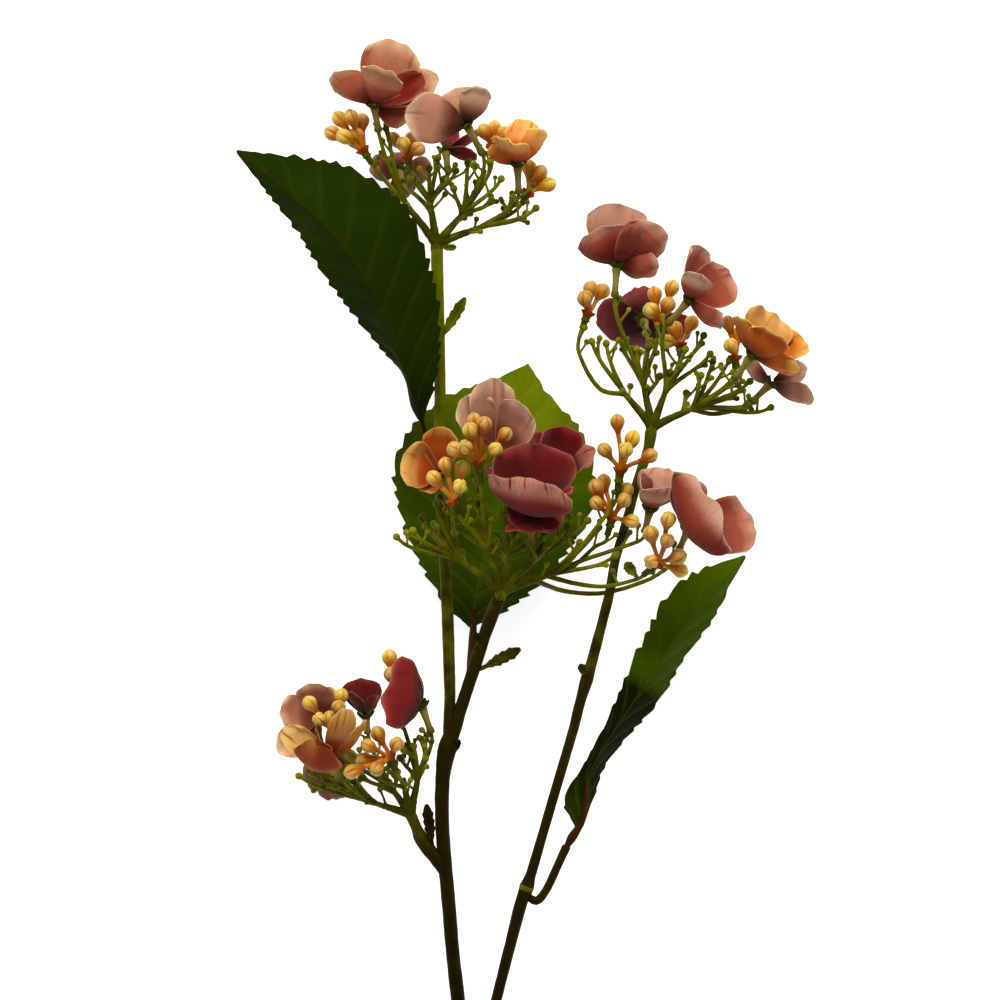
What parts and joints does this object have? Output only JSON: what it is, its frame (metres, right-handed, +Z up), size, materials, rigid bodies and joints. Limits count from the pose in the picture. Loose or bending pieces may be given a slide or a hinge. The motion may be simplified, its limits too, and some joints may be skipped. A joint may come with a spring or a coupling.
{
  "type": "hydrangea flower spray",
  "caption": "Cut lacecap hydrangea spray with forked stem, toothed leaves and flower heads of cupped florets, small buds and green rays, lying down.",
  "frame": {"origin": "middle of the footprint, on the surface that the spray lies on", "axes": "+Y from the cut end towards the top head, +X towards the right head, +Z up from the surface"},
  "size_m": [0.231, 0.4638, 0.0915],
  "materials": {
    "stem_brown": "moulded, brown turning green towards the heads",
    "leaf_dark": "printed cloth, dark green, pressed veins",
    "leaf_bright": "printed cloth, bright green, pressed veins",
    "cyme_green": "moulded, olive green",
    "petals_pink": "soft cloth, pink with paler rim",
    "petals_salmon": "soft cloth, salmon with paler rim",
    "petals_mauve": "soft cloth, mauve with paler rim",
    "petals_crimson": "soft cloth, deep crimson",
    "petals_orange": "soft cloth, orange with yellow rim",
    "bud_orange": "moulded, pale orange with red seams"
  },
  "bodies": {
    "root": {"stem": "stem_brown", "leaf_upper_left": "leaf_dark", "leaf_middle": "leaf_bright", "leaf_lower_right": "leaf_dark", "cyme_top": "cyme_green", "cyme_right": "cyme_green", "cyme_middle": "cyme_green", "cyme_low": "cyme_green", "bloom_top_1": "petals_salmon", "bloom_top_2": "petals_mauve", "bloom_top_3": "petals_crimson", "bloom_top_4": "petals_orange", "bloom_top_5": "petals_salmon", "bloom_right_1": "petals_pink", "bloom_right_2": "petals_crimson", "bloom_right_3": "petals_pink", "bloom_right_4": "petals_orange", "bloom_right_5": "petals_mauve", "bloom_middle_1": "petals_mauve", "bloom_middle_2": "petals_crimson", "bloom_middle_3": "petals_crimson", "bloom_middle_4": "petals_orange", "bloom_middle_5": "petals_pink", "bloom_middle_6": "petals_pink", "bloom_low_1": "petals_mauve", "bloom_low_2": "petals_orange", "bloom_low_3": "petals_crimson", "bloom_low_4": "petals_crimson", "bloom_low_5": "petals_pink", "buds_top_1": "bud_orange", "buds_top_2": "bud_orange", "buds_top_3": "bud_orange", "buds_top_4": "bud_orange", "buds_right_1": "bud_orange", "buds_right_2": "bud_orange", "buds_right_3": "bud_orange", "buds_right_4": "bud_orange", "buds_middle_1": "bud_orange", "buds_middle_2": "bud_orange", "buds_middle_3": "bud_orange", "buds_middle_4": "bud_orange", "buds_middle_5": "bud_orange", "buds_low_1": "bud_orange", "buds_low_2": "bud_orange", "buds_low_3": "bud_orange"}
  },
  "joints": []
}
